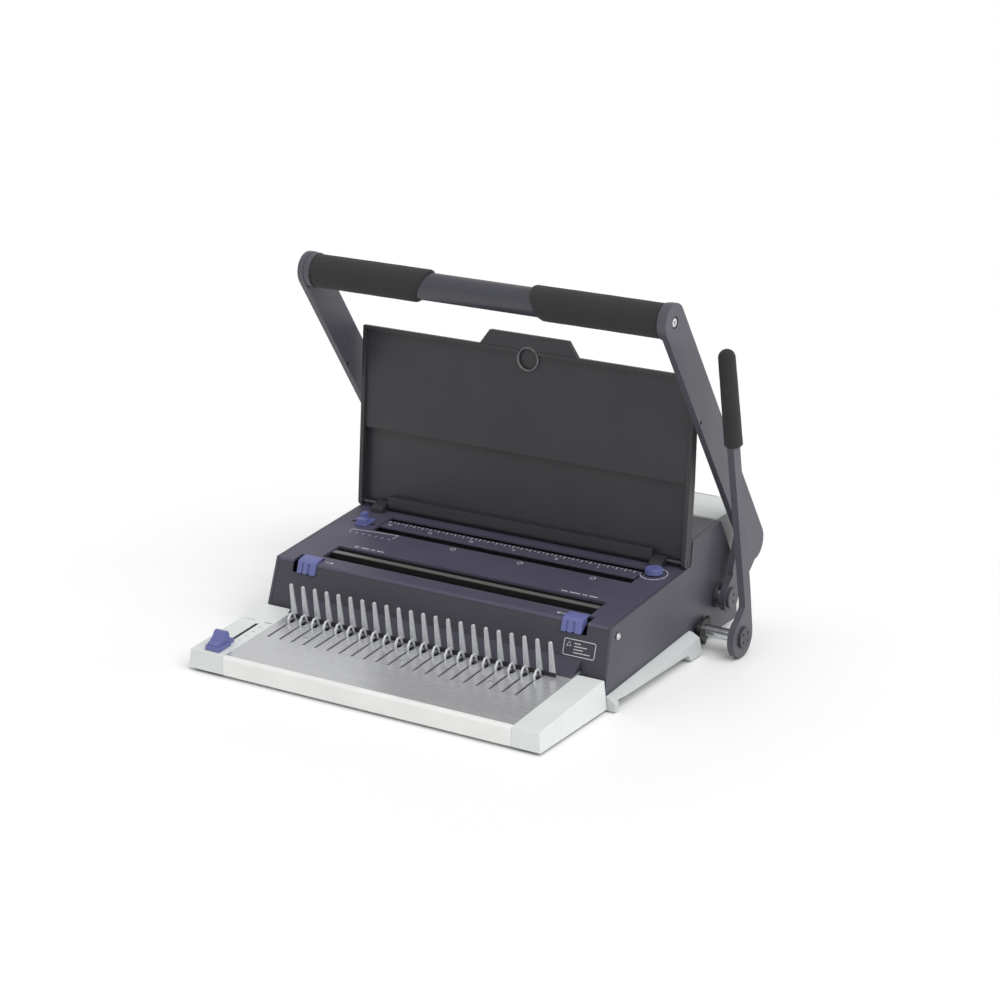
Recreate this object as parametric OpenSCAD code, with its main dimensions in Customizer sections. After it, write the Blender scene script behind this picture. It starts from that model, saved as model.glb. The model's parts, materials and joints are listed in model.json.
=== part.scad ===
// Desktop machine that punches sheets and binds them with plastic combs or wire loops.
// Origin: on the rest surface, midway between the side panels, under the row of fingers.
// +X is the operator's right, +Y is towards the rear, +Z is up.

/* [Body] */
// Half width of the body over the side panels
body_half = 195; // [194:0.5:196]
// Thickness of the side panels
side_t = 3; // [2.5:0.5:3]
// Height of the deck at its front edge
deck_front_z = 77.7; // [77.2:0.1:78.2]
// Rise of the deck per millimetre towards the rear
deck_slope = 0.087; // [0.085:0.0005:0.089]
// Thickness of the moulded panels
skin = 2.5; // [2:0.1:2.6]

/* [Work tray] */
// Left edge of the steel work plate
plate_left = -159.4; // [-160:0.2:-159]
// Right edge of the steel work plate
plate_right = 168.8; // [168.4:0.2:169.6]
// Height of the work plate at the row of fingers
plate_z = 31.2; // [31:0.1:31.5]
// Drop of the work plate per millimetre towards the operator
plate_slope = 0.0821; // [0.08:0.0005:0.084]
// Front face of the tray
tray_front = -108; // [-109:0.5:-107]

/* [Comb row] */
// Distance between neighbouring fingers, nine sixteenths of an inch
pitch = 14.2875; // [14.2875:0.0001:14.2876]
// Number of fingers in the row
fingers = 22; // [22:1:22]
// Height of a finger above the work plate
finger_h = 37; // [34:0.5:38]
// Offset of each hook to the right of its finger
hook_shift = 3; // [2.8:0.1:3.2]

/* [Handle] */
// Height of the handle pivot
pivot_z = 44; // [43.5:0.1:44.5]
// Distance of the handle pivot behind the fingers
pivot_y = 245; // [244.5:0.1:245.5]
// Radius of the handle shaft
handle_shaft_r = 8; // [7.5:0.1:8]
// Radius of the bare handle tube
tube_r = 14; // [13:0.5:14.5]
// Radius of the foam grips
grip_r = 17; // [16:0.5:17.5]
// Swing of the handle from rest to the end of the punch stroke, degrees
handle_swing = 64; // [60:1:64]
// Stroke of the punch ram
ram_travel = 12; // [11:0.1:12]

/* [Comb lever] */
// Height of the opener shaft
opener_z = 21; // [20.9:0.1:21.4]
// Distance of the opener shaft behind the fingers
opener_y = 205; // [204.5:0.1:205.5]
// Radius of the opener shaft
opener_r = 6; // [5.5:0.1:6]
// Module of the opener sectors and racks
gear_m = 2; // [2:0.1:2.1]

/* [Cover] */
// Backward lean of the opened cover, degrees
cover_lean = 4.7; // [4.5:0.1:4.9]
// Height of the cover above its lower edge
cover_h = 193; // [190:1:193]
// Half width of the cover
cover_half = 195; // [194.5:0.5:195.5]

/* [Hidden] */
$fn = 64;
EPS = 0.01;
in_half = body_half - side_t;
shell_half = in_half - 0.3;
body_front_low = 12;
body_front_top = 31.5;
side_draft = 0.057;
panel_lean = (body_front_top - body_front_low) / (deck_front_z - 13);
cheek_y = 190;
riser_y = 197;
rear_top_y = 251;
rear_y = 285;
bin_rear = 322;
pan_bottom = 3;
pan_top = 6;
channel_x = [-152, 162];
channel_y = [50, 80];
recess_x = [-145, 161];
recess_y = [128.5, 166];
ruler_y = [142.5, 158.8];
notch_left = [-174, -145];
notch_right = [141, 169];
latch_w = 22;
latch_lip = 12;
die_y = [149.5, 159.5];
guide_y = [164.5, 174.5];
die_z = [56, 84];
die_half = 174;
punch_z = 73.5;
rod_x_at = 165;
rod_r = 4;
push_x = 148.6;
push_z = 64;
push_r = 3;
ram_y = [196, 206];
ram_z = [60, 82];
cam_x = 120;
cam_gap = 0.4;
cam_base = ram_travel / (handle_swing * PI / 180);
cam_h0 = 17;
arm_left = [-207.5, -200.9];
arm_right = [204.9, 211.5];
tube_at = [114.4, 357];
elbow_at = [297, 88];
opener_out = 246;
lever_t = 7;
lever_grip_r = 9.2;
gear_z = 20;
gear_r = gear_m * gear_z / 2;
rack_x = 155;
rack_w = 6;
rack_low = opener_z + gear_r + 2.6;
rack_top = rack_low + 5.4;
bar_z = [9, 15];
drawer_y = [78, 148];
drawer_z = [6.3, 35];
dial_at = [171, 157];
cover_foot = [175.3, 91.6];
pin_s = 4.9;
pin_d = 4.9;
pin_r = 2;
foot_r = 4.9;
pin_at = [cover_foot[0] + pin_s * sin(cover_lean) + pin_d * cos(cover_lean),
    cover_foot[1] + pin_s * cos(cover_lean) - pin_d * sin(cover_lean)];
plate_t = 1.5;
strip_z = [19, 23.5];
strip_slot = 22;
slide_z = [18.5, 23.5];
hook_slot = [-51, -13];
hook_hole = [-14, -3];
slider_x = -175.5;
rear_z = 121;
riser_top = 116.4;
punches = fingers - 1;
hole_size = [8, 3];
hole_gap = 0.1;
bar_y = [65, 73];
grip_left = [-194.5, -65.5];
grip_right = [64.5, 201.5];
lever_low = [212.4, 66];
lever_high = [162.4, 310];
lever_bar_r = 6.8;
screw_sink = 2;
dial_stem_z = 84.6;
flange_x = 197.4;
collar_x = 199.4;
slider_slot = [-93, -30];
trough_t = 1.5;
bin_half = 189.5;
lid_half = 155;
lid_y = [270, 319.8];
lid_pin = [317, 118.5];
lid_pin_r = 1.2;

function deck_z(y) = deck_front_z + (y - body_front_top) * deck_slope;
function tray_z(y) = plate_z + y * plate_slope;
function panel_y(z) = body_front_low + (z - 13) * panel_lean;
function side_x(z) = body_half + max(0, deck_front_z - z) * side_draft;
function finger_x(i) = (i - (fingers - 1) / 2) * pitch;

// Box between two values on each axis
module block(x, y, z) {
    translate([x[0], y[0], z[0]]) cube([x[1] - x[0], y[1] - y[0], z[1] - z[0]]);
}

// Outline in the Y-Z plane, extruded along X
module along_x(x) {
    translate([x[0], 0, 0]) rotate([90, 0, 90]) linear_extrude(x[1] - x[0]) children();
}

// Outline in the X-Z plane, extruded along Y
module along_y(y) {
    translate([0, y[1], 0]) rotate([90, 0, 0]) linear_extrude(y[1] - y[0]) children();
}

module rod_x(x, at, r) {
    translate([x[0], at[0], at[1]]) rotate([0, 90, 0]) cylinder(h = x[1] - x[0], r = r);
}

module rod_y(x, y, z, r) {
    translate([x, y[1], z]) rotate([90, 0, 0]) cylinder(h = y[1] - y[0], r = r);
}

// Flat bar with round ends, as a 2D outline
module capsule(a, b, r) {
    d = b - a;
    n = [-d[1], d[0]] * r / norm(d);
    translate(a) circle(r);
    translate(b) circle(r);
    polygon([a + n, a - n, b - n, b + n]);
}

// Ring around the X axis
module ring_x(x, at, r_in, r_out) {
    difference() {
        rod_x(x, at, r_out);
        rod_x([x[0] - 1, x[1] + 1], at, r_in);
    }
}

// Sloping strip of the given thickness that follows the deck
module deck_strip(x, y, t, drop = 0) {
    along_x(x) polygon([
        [y[0], deck_z(y[0]) - drop], [y[1], deck_z(y[1]) - drop],
        [y[1], deck_z(y[1]) - drop - t], [y[0], deck_z(y[0]) - drop - t]]);
}

// ---- base and tray -------------------------------------------------------------

module base_pan() {
    post = [5, 8];
    color("gainsboro") {
        block([plate_left + 0.2, plate_right - 0.2], [-102.5, 14], [pan_bottom, pan_top]);
        block([-body_half, body_half], [13.5, rear_y - 3], [pan_bottom, pan_top]);
        for (x = [-110, 0, 110])
            for (y = [-86, -68])
                block([x - 3, x + 3], [y, y + 3], [pan_top - EPS, tray_z(y) - plate_t - 0.1]);
        for (x = [-100, 0, 100])
            block([x - post[0], x + post[0]], [0, post[1]], [pan_top - EPS, strip_z[0]]);
    }
}

module foot_pads() {
    color("dimgray") {
        for (x = [-145, 145])
            for (y = [-90, 270])
                translate([x, y, 0]) cylinder(h = pan_bottom, r1 = 8, r2 = 9);
        translate([0, 0, 0]) cylinder(h = pan_bottom, r1 = 8, r2 = 9);
        translate([0, 270, 0]) cylinder(h = pan_bottom, r1 = 8, r2 = 9);
    }
}

// Hollow wedge beside the work plate; wall faces the plate, flank slopes outwards
module tray_block(x_in, x_out) {
    side = sign(x_out);
    wall = 2.4;
    rear = 13.2;
    flank = 6;
    outline = [[x_in, pan_bottom], [x_out, pan_bottom], [x_out - side * flank, 60], [x_in, 60]];
    inner = [[x_in + side * wall, 0], [x_out - side * wall, 0],
        [x_out - side * (wall + flank), 60], [x_in + side * wall, 60]];
    difference() {
        intersection() {
            along_y([tray_front, rear]) polygon(outline);
            along_x([-210, 210]) polygon([
                [tray_front, pan_bottom], [tray_front + 1.5, tray_z(tray_front + 1.5)],
                [rear - 1, tray_z(rear - 1)], [rear, tray_z(rear) - 1.5], [rear, pan_bottom]]);
        }
        intersection() {
            along_y([tray_front + wall, rear - wall]) polygon(inner);
            along_x([-210, 210]) polygon([
                [tray_front, 0], [tray_front, tray_z(tray_front) - wall],
                [rear, tray_z(rear) - wall - 2], [rear, 0]]);
        }
    }
}

module tray_block_left() {
    color("gainsboro") difference() {
        tray_block(plate_left, -201.6);
        block([slider_x - 1.8, slider_x + 1.8], slider_slot, [8, 60]);
    }
}

module tray_block_right() {
    color("gainsboro") tray_block(plate_right, 201);
}

module front_rail() {
    z = tray_z(tray_front);
    color("whitesmoke") along_x([plate_left, plate_right]) polygon([
        [tray_front, pan_bottom], [tray_front, z - 2.2], [tray_front + 1.6, z],
        [tray_front + 5.8, tray_z(tray_front + 5.8)], [tray_front + 5.8, tray_z(tray_front) - 3.4],
        [tray_front + 3, tray_z(tray_front) - 3.4], [tray_front + 3, 6.5],
        [tray_front + 5, 6.5], [tray_front + 5, pan_bottom]]);
}

module work_plate() {
    front = tray_front + 5.9;
    rear = 24;
    color("silver") difference() {
        along_x([plate_left + 0.1, plate_right - 0.1]) polygon([
            [front, tray_z(front) - plate_t], [rear, tray_z(rear) - plate_t],
            [rear, tray_z(rear)], [front, tray_z(front)]]);
        for (i = [0 : fingers - 1])
            block([finger_x(i) - 4, finger_x(i) + 4], [-2.6, 0.8], [20, 40]);
        for (i = [0 : fingers - 2]) {
            x = finger_x(i) + hook_shift;
            block([x - 1.3, x + 1.3], hook_slot, [20, 40]);
            block([x - 3, x + 3], hook_hole, [20, 40]);
        }
    }
}

// Domed head with a short shank, along +X or -X
module side_screw(side, y, z) {
    x = side_x(z - 3.6) + 0.05;
    rod_x(side > 0 ? [x, x + 1.2] : [-x - 1.2, -x], [y, z], 3.6);
    rod_x(side > 0 ? [x + 1.2, x + 1.9] : [-x - 1.9, -x - 1.2], [y, z], 2.6);
}

module panel_screws() {
    color("lightgray") {
        for (s = [-1, 1])
            side_screw(s, 41, 66.6);
        for (i = [2, 10, 17])
            translate([finger_x(i) + hook_shift + pitch / 2, -38, tray_z(-38) + EPS])
                rotate([atan(plate_slope), 0, 0]) cylinder(h = 0.7, r = 2.3);
    }
}

// Flat tapered finger that leans towards the operator
module finger() {
    forward_lean = 7.6;
    foot_w = 3.4;
    tip_r = 1.9;
    buried = plate_z - strip_slot;
    tip_z = buried + finger_h - tip_r;
    rotate([90 + forward_lean, 0, 0]) linear_extrude(2, center = true) {
        polygon([[-foot_w, 0.15], [foot_w, 0.15], [foot_w, buried],
            [tip_r, tip_z], [-tip_r, tip_z], [-foot_w, buried]]);
        translate([0, tip_z]) circle(tip_r);
    }
}

module comb_fingers() {
    color("silver") for (i = [0 : fingers - 1])
        translate([finger_x(i), 0, strip_slot]) finger();
}

module finger_strip() {
    color("slategray") difference() {
        block([-154, 154], [-3, 9], strip_z);
        for (i = [0 : fingers - 1])
            block([finger_x(i) - 3.5, finger_x(i) + 3.5], [-1.3, 1.1], [strip_slot, 30]);
    }
}

module ledge_ramp() {
    z = 43.9;
    low = tray_z(24) + 0.2;
    color("#4c4e5c") along_x([-161, 168.2]) polygon([
        [2.4, tray_z(2.4) + 0.2], [panel_y(low) - 0.2, low], [panel_y(z) - 0.2, z],
        [2.4, tray_z(2.4) + 1]]);
}

module front_panel() {
    foot = 20;
    apron = 34.8;
    color("#48454f") difference() {
        intersection() {
            along_x([-body_half - 9, body_half + 9]) polygon([
                [panel_y(foot), foot], [panel_y(foot) + skin, foot],
                [panel_y(deck_front_z - 3) + skin, deck_front_z - 3],
                [panel_y(deck_front_z - 3), deck_front_z - 3]]);
            between_sides();
        }
        block([plate_left - 1.8, plate_right + 0.6], [0, 60], [-10, apron]);
        notch(notch_left);
        notch(notch_right);
    }
}

// Space between the two side panels, which spread apart towards the base
module between_sides() {
    low = side_x(0) - side_t - 0.3;
    along_y([0, rear_y + 5]) polygon([[-low, 0], [low, 0], [shell_half, deck_front_z],
        [shell_half, 140], [-shell_half, 140], [-shell_half, deck_front_z]]);
}

// Opening that a size latch slides in, at the front edge of the deck
module notch(x) {
    block(x, [18, 41], [deck_front_z - latch_lip, 90]);
}

module side_outline() {
    polygon([
        [13.6, 8], [rear_y, 8], [rear_y, 64], [rear_y - 1, 67],
        [rear_top_y + 1, 120], [rear_top_y - 1, 121], [cheek_y + 4, 115.6],
        [cheek_y + 2, 114], [cheek_y - 1, deck_z(cheek_y - 1)],
        [panel_y(deck_front_z), deck_front_z], [13.6, 18.3]]);
}

// Flat panel that spreads outwards below the deck
module side_panel(s) {
    low = side_x(0);
    out = body_half + 12;
    difference() {
        intersection() {
            along_x(s > 0 ? [in_half - 5, out] : [-out, -in_half + 5]) side_outline();
            scale_x(s) along_y([0, rear_y + 5]) polygon([
                [low - side_t, 0], [low, 0], [body_half, deck_front_z], [body_half, 130],
                [in_half, 130], [in_half, deck_front_z]]);
        }
        rod_x([-out, out], [pivot_y, pivot_z], 11.02);
        rod_x([-out, out], [opener_y, opener_z], 9);
        rod_x(s > 0 ? [flange_x, out] : [-out, -flange_x], [pivot_y, pivot_z], 12.6);
    }
}

// Left or right hand copy of a right-hand shape
module scale_x(s) {
    if (s > 0)
        children();
    else
        mirror([1, 0, 0]) children();
}

// Way out for the chip drawer through the left side
module drawer_gap() {
    block([-220, -190], [drawer_y[0] - 1, drawer_y[1] + 1], [1, drawer_z[1] + 1]);
}

module side_panel_left() {
    color("#6a6470") difference() {
        side_panel(-1);
        drawer_gap();
    }
}

module side_panel_right() {
    color("#6a6470") side_panel(1);
}

// Raised skirt rail with a foot at each end
module side_rail(s) {
    x_out = 209.5;
    low = 11.5;
    front = 13.8;
    z_front = 16.2;
    z_rear = 27;
    climb = (z_rear - z_front) / 158;
    inner = side_x(0) + 0.2;
    outline = [[front, 1.5], [front + 6, 1.5], [front + 7.5, low], [160, low - 2], [166, 1.5],
        [188, 1.5], [189, 5], [181, z_rear], [176, z_rear], [18, z_front], [front, z_front]];
    scale_x(s) difference() {
        intersection() {
            along_x([body_half, x_out]) polygon(outline);
            along_y([0, 220]) polygon([
                [inner, 0], [x_out + 5, 0], [x_out + 5, 60], [inner - 60 * side_draft, 60]]);
        }
        multmatrix([[1, 0, 0, 0], [0, 1, 0, 0], [0, climb, 1, z_front - 18 * climb], [0, 0, 0, 1]])
            along_y([-5, 220]) polygon([[198, 1.2], [204, -2], [x_out, -6], [x_out + 5, -6],
                [x_out + 5, 6], [198, 6]]);
    }
}

module side_rail_left() {
    color("lightgray") difference() {
        side_rail(-1);
        drawer_gap();
    }
}

module side_rail_right() {
    color("lightgray") side_rail(1);
}

// ---- deck ----------------------------------------------------------------------

module top_panel() {
    color("#5c5a68") difference() {
        union() {
            along_x([-shell_half, shell_half]) polygon([
                [panel_y(deck_front_z - 2.8), deck_front_z - 2.8],
                [panel_y(deck_front_z - 1), deck_front_z - 1],
                [body_front_top + 1, deck_z(body_front_top + 1)],
                [riser_y - 1, deck_z(riser_y - 1)], [riser_y - 1, deck_z(riser_y - 1) - skin],
                [body_front_top + 4, deck_z(body_front_top + 4) - skin],
                [body_front_top + 4, deck_front_z - 2.8]]);
        }
        block(channel_x, channel_y, [40, 120]);
        block(recess_x, recess_y, [40, 120]);
        block([-178, -148.5], [138.8, 142.2], [40, 120]);
        translate([dial_at[0], dial_at[1], 40]) cylinder(h = 80, r = 4.05);
        for (x = [notch_left, notch_right]) {
            notch(x);
            deck_strip(x, [36, 46], 30, -10);
        }
    }
}

module wire_trough() {
    x = [channel_x[0] - trough_t, channel_x[1] + trough_t];
    y = [channel_y[0] - trough_t, channel_y[1] + trough_t];
    floor_z = 56;
    color("#26262a") difference() {
        along_x(x) polygon([
            [y[0], floor_z], [y[1], floor_z], [y[1], deck_z(y[1]) - skin],
            [y[0], deck_z(y[0]) - skin]]);
        block(channel_x, channel_y, [floor_z + trough_t, 120]);
        for (s = [-1, 1])
            rod_y(s * push_x, [70, 90], push_z, push_r + 0.3);
    }
}

module scale_ruler() {
    color("#6f7488") deck_strip([recess_x[0] + 0.3, recess_x[1] - 4], ruler_y, 2, 1);
}

// Bracket on the deck that holds one end of the cover's hinge pin
module hinge_rest(s) {
    x = s > 0 ? [158.5, 172.5] : [-172.5, -158.5];
    reach = 13;
    round_r = 4.2;
    color("#333336") difference() {
        along_x(x) {
            translate(pin_at) circle(round_r);
            polygon([
                [pin_at[0] - reach, deck_z(pin_at[0] - reach)],
                [pin_at[0] + 3.4, deck_z(pin_at[0] + 3.4)],
                [pin_at[0] + round_r, pin_at[1]], [pin_at[0], pin_at[1] + round_r],
                [pin_at[0] - reach + 3, pin_at[1] + 1], [pin_at[0] - reach, pin_at[1] - 1.5]]);
        }
        rod_x([x[0] - 1, x[1] + 1], pin_at, pin_r + 0.02);
    }
}

module hinge_rest_left() {
    hinge_rest(-1);
}

module hinge_rest_right() {
    hinge_rest(1);
}

// Cover behind the hinged panel, with two ribs that the opened panel leans on
module rear_top_panel() {
    low = deck_z(riser_y) - skin;
    color("#66646f") {
        along_x([-shell_half, shell_half]) polygon([
            [riser_y, low], [riser_y + skin, low], [riser_y + skin, riser_top - 3.6],
            [riser_y + 4, riser_top - skin], [rear_top_y - 1, rear_z - skin],
            [rear_top_y + 0.5, rear_z - 0.8], [rear_top_y - 1, rear_z], [riser_y + 2, riser_top],
            [riser_y, riser_top - 2]]);
        for (x = [-66, 66])
            along_x([x - 6, x + 6]) polygon([
                [riser_y - 8, riser_top - 4], [riser_y + 1, riser_top - 4],
                [riser_y + 3, riser_top - 0.4], [riser_y - 7.8, riser_top - 0.6]]);
    }
}

module rear_panel() {
    back = rear_y - 0.2;
    color("#5f5d68") intersection() {
        along_x([-body_half - 9, body_half + 9]) polygon([
            [back - skin, pan_top + 0.2], [back, pan_top + 0.2], [back, 64], [back - 0.4, 66.6],
            [rear_top_y + 0.5, rear_z - 1.6], [rear_top_y - 1, rear_z - 3.4], [back - skin, 64]]);
        between_sides();
    }
}

// Light box behind the body with a lidded opening in its top
module storage_bin() {
    wall = 2.5;
    front = rear_y + 0.4;
    color("gainsboro") difference() {
        union() {
            difference() {
                along_x([-bin_half, bin_half]) polygon([
                    [front, pan_bottom + 5], [front + 4, pan_bottom + 1],
                    [bin_rear - 6, pan_bottom + 1], [bin_rear, pan_bottom + 8],
                    [bin_rear, rear_z - 2], [bin_rear - 2, rear_z], [rear_top_y + 2.6, rear_z],
                    [rear_top_y + 1.6, rear_z - 1.4], [front, 66]]);
                along_x([-bin_half + wall, bin_half - wall]) polygon([
                    [front + wall, 12], [bin_rear - wall, 14], [bin_rear - wall, rear_z - wall],
                    [rear_top_y + 4 + wall, rear_z - wall], [front + wall, 66]]);
            }
            for (s = [-1, 1])
                block(s > 0 ? [lid_half, lid_half + 5] : [-lid_half - 5, -lid_half],
                    [lid_pin[0] - 4, bin_rear - 1], [lid_pin[1] - 4, rear_z - 1]);
            block([-lid_half, lid_half], [lid_y[0] - 2, lid_y[0] + 3], [rear_z - 5, rear_z - wall]);
        }
        block([-lid_half, lid_half], lid_y, [rear_z - wall - 0.1, rear_z + 1]);
        for (s = [-1, 1])
            rod_x(s > 0 ? [lid_half - 1, lid_half + 3.2] : [-lid_half - 3.2, -lid_half + 1],
                lid_pin, lid_pin_r + 0.03);
    }
}

// ---- cover ---------------------------------------------------------------------

// Panel that supports the sheets, recessed on its front, with its foot rounded about the hinge
module cover_panel() {
    low_rim = 85;
    rim = 4.5;
    thick = 11.5;
    thin = 7;
    tab = [58, 46, 15.5];
    tab_x = 4.5;
    hinge_gap = [157.5, cover_half - rim];
    steps = 8;
    foot = [for (k = [0 : steps]) let (a = 180 + 90 * k / steps)
        [pin_d + foot_r * cos(a), pin_s + foot_r * sin(a)]];
    color("#3c3b3e") translate([0, cover_foot[0], cover_foot[1]]) rotate([-cover_lean, 0, 0])
        difference() {
            union() {
                along_x([-cover_half, cover_half]) polygon(concat(foot, [
                    [thick - 2, 1.4], [thick, 3], [thick, low_rim], [thin, cover_h - 2],
                    [thin - 2, cover_h], [0, cover_h]]));
                translate([tab_x, 0, 0]) along_y([1, 6]) polygon([
                    [-tab[0], cover_h - 1], [tab[0], cover_h - 1],
                    [tab[1], cover_h + tab[2]], [-tab[1], cover_h + tab[2]]]);
            }
            block([-cover_half + rim, cover_half - rim], [-5, thick - 2.2], [15, low_rim]);
            block([-cover_half + rim, cover_half - rim], [-5, 3], [low_rim - 1, cover_h - 4]);
            rod_y(tab_x, [-5, 4.5], cover_h - 9, 12.5);
            for (s = [-1, 1]) {
                block(s > 0 ? hinge_gap : [-hinge_gap[1], -hinge_gap[0]],
                    [-5, thick - 2.2], [-5, 16]);
                rod_x(s > 0 ? [cover_half - 6, cover_half + 1] : [-cover_half - 1, -cover_half + 6],
                    [pin_d, pin_s], pin_r + 0.05);
            }
        }
}

module cover_hinge_pins() {
    color("silver") for (s = [-1, 1])
        rod_x(s > 0 ? [159, cover_half - 0.5] : [-cover_half + 0.5, -159], pin_at, pin_r);
}

// ---- punch unit ----------------------------------------------------------------

function punch_x(i) = (i - (punches - 1) / 2) * pitch;

module punch_holes(y) {
    for (i = [0 : punches - 1])
        block([punch_x(i) - hole_size[0] / 2 - hole_gap, punch_x(i) + hole_size[0] / 2 + hole_gap],
            [y[0] - 1, y[1] + 1],
            [punch_z - hole_size[1] / 2 - hole_gap, punch_z + hole_size[1] / 2 + hole_gap]);
    for (s = [-1, 1])
        rod_y(s * push_x, [y[0] - 1, y[1] + 1], push_z, push_r + 0.3);
}

module die_plate() {
    color("gray") difference() {
        block([-die_half, die_half], die_y, die_z);
        punch_holes(die_y);
    }
}

module punch_guide_plate() {
    color("gray") difference() {
        block([-die_half, die_half], guide_y, die_z);
        punch_holes(guide_y);
        for (s = [-1, 1])
            rod_y(s * rod_x_at, [guide_y[0] - 1, guide_y[1] + 1], punch_z, rod_r);
    }
}

module punch_end_blocks() {
    color("dimgray") {
        for (s = [-1, 1]) {
            block(s > 0 ? [die_half, 186] : [-186, -die_half], [153, 178], [pan_top, die_z[1]]);
            block(s > 0 ? [160, die_half] : [-die_half, -160], [die_y[1], guide_y[0]], die_z);
        }
        block([-142, 142], [die_y[1], guide_y[0]], [die_z[0], 68.5]);
    }
}

module guide_rods() {
    color("silver") for (s = [-1, 1])
        rod_y(s * rod_x_at, [guide_y[0], 216], punch_z, rod_r);
}

module punch_ram() {
    pad_y = pivot_y - cam_h0 - cam_gap;
    color("slategray") difference() {
        union() {
            block([-172, 172], ram_y, ram_z);
            for (s = [-1, 1])
                block([s * cam_x - 7, s * cam_x + 7], [ram_y[0], pad_y], [48, ram_z[1]]);
        }
        for (s = [-1, 1])
            rod_y(s * rod_x_at, [ram_y[0] - 1, ram_y[1] + 1], punch_z, rod_r + 0.05);
    }
}

module punch_pins() {
    color("silver") for (i = [0 : punches - 1])
        block([punch_x(i) - hole_size[0] / 2, punch_x(i) + hole_size[0] / 2],
            [guide_y[0] + 0.4, ram_y[0]],
            [punch_z - hole_size[1] / 2, punch_z + hole_size[1] / 2]);
}

module closing_bar() {
    color("darkgray") {
        block([-150.5, 160.5], bar_y, [59, 79.6]);
        for (s = [-1, 1])
            rod_y(s * push_x, [bar_y[1], ram_y[0]], push_z, push_r);
    }
}

// ---- handle --------------------------------------------------------------------

function arm_x(s) = s > 0 ? arm_right : arm_left;
function arm_face(s) = s > 0 ? arm_right[1] : arm_left[0];
function outwards(s, x, t) = s > 0 ? [x, x + t] : [x - t, x];

module handle_arm(s) {
    x = arm_x(s);
    cut = [x[0] - 1, x[1] + 1];
    foot_end = 14.5;
    difference() {
        along_x(x) {
            capsule(tube_at, elbow_at, 18.5);
            capsule(elbow_at, [pivot_y, pivot_z], foot_end);
            polygon([[248, 72], [pivot_y + 6, pivot_z + 10], elbow_at, [262, 108]]);
        }
        rod_x(cut, [pivot_y, pivot_z], handle_shaft_r + 0.02);
        rod_x(cut, tube_at, 4.1);
        rod_x(outwards(s, arm_face(s) - s * screw_sink, 5), tube_at, 6);
        rod_x(cut, [171, 246], 2);
    }
}

module handle_arm_left() {
    color("#6a6470") handle_arm(-1);
}

module handle_arm_right() {
    color("#6a6470") handle_arm(1);
}

module handle_tube() {
    color("#5a5b62") difference() {
        ring_x([arm_left[1], arm_right[0]], tube_at, 4.1, tube_r);
        ring_x([arm_left[1] + 12, arm_right[0] - 12], tube_at, 3, tube_r - 2);
    }
}

// Foam sleeve; the end towards the middle of the tube is cut at a slant
module handle_grip(s, x) {
    end = s > 0 ? x[0] : x[1];
    far = end - s * 40;
    half = grip_r + 4;
    slant = 0.4 * half * s;
    difference() {
        ring_x([x[0] - (s > 0 ? 20 : 0), x[1] + (s > 0 ? 0 : 20)], tube_at, tube_r, grip_r);
        scale_x(s) along_y([tube_at[0] - 40, tube_at[0] + 40]) polygon([
            [s * far, tube_at[1] - half], [s * (end + slant), tube_at[1] - half],
            [s * (end - slant), tube_at[1] + half], [s * far, tube_at[1] + half]]);
    }
}

module handle_grip_left() {
    color("#333333") handle_grip(-1, grip_left);
}

module handle_grip_right() {
    color("#333333") handle_grip(1, grip_right);
}

module handle_collars() {
    color("#77757f") {
        ring_x([grip_right[1], arm_right[0]], tube_at, tube_r, 18);
        ring_x([arm_left[1], grip_left[0]], tube_at, tube_r, 18);
    }
}

module handle_end_screws() {
    color("lightgray") for (s = [-1, 1]) {
        floor_x = arm_face(s) - s * screw_sink;
        rod_x(outwards(-s, floor_x, 14), tube_at, 4);
        ring_x(outwards(s, floor_x, 1.5), tube_at, 1.8, 4.3);
    }
}

module handle_shaft() {
    color("silver") rod_x([arm_left[0], arm_right[1]], [pivot_y, pivot_z], handle_shaft_r);
}

module pivot_bosses() {
    color("#6a6470") for (s = [-1, 1])
        difference() {
            rod_x(outwards(s, arm_face(s), 3), [pivot_y, pivot_z], 10.8);
            for (k = [-1, 1])
                rod_x(outwards(s, arm_face(s) + s, 3), [pivot_y, pivot_z + k * 4], 1.4);
        }
}

// Cam edge whose reach towards the ram grows evenly with the handle angle
function cam_reach(a) = cam_h0 + cam_base * (180 - a) * PI / 180;
function cam_point(a) = cam_reach(a) * [cos(a), sin(a)] - cam_base * [-sin(a), cos(a)];

module punch_cams() {
    steps = 16;
    color("dimgray") for (s = [-1, 1])
        difference() {
            along_x([s * cam_x - 5, s * cam_x + 5]) translate([pivot_y, pivot_z]) {
                circle(12);
                polygon(concat([[0, 0]],
                    [for (k = [0 : steps]) cam_point(180 - handle_swing * k / steps)]));
            }
            rod_x([s * cam_x - 6, s * cam_x + 6], [pivot_y, pivot_z], handle_shaft_r + 0.02);
        }
}

// Close-wound torsion springs round the handle shaft, each with a leg down to the base
module handle_return_springs() {
    wire = 1.1;
    turn_r = 10.2;
    turns = 7;
    color("gray") for (s = [-1, 1]) {
        for (k = [0 : turns - 1])
            translate([s * (60 + k * 2.4), pivot_y, pivot_z]) rotate([0, 90, 0])
                rotate_extrude() translate([turn_r, 0]) circle(wire, $fn = 24);
        translate([s * (60 - 2.4), pivot_y + turn_r, pan_top]) cylinder(h = pivot_z - pan_top, r = wire);
    }
}

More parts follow.
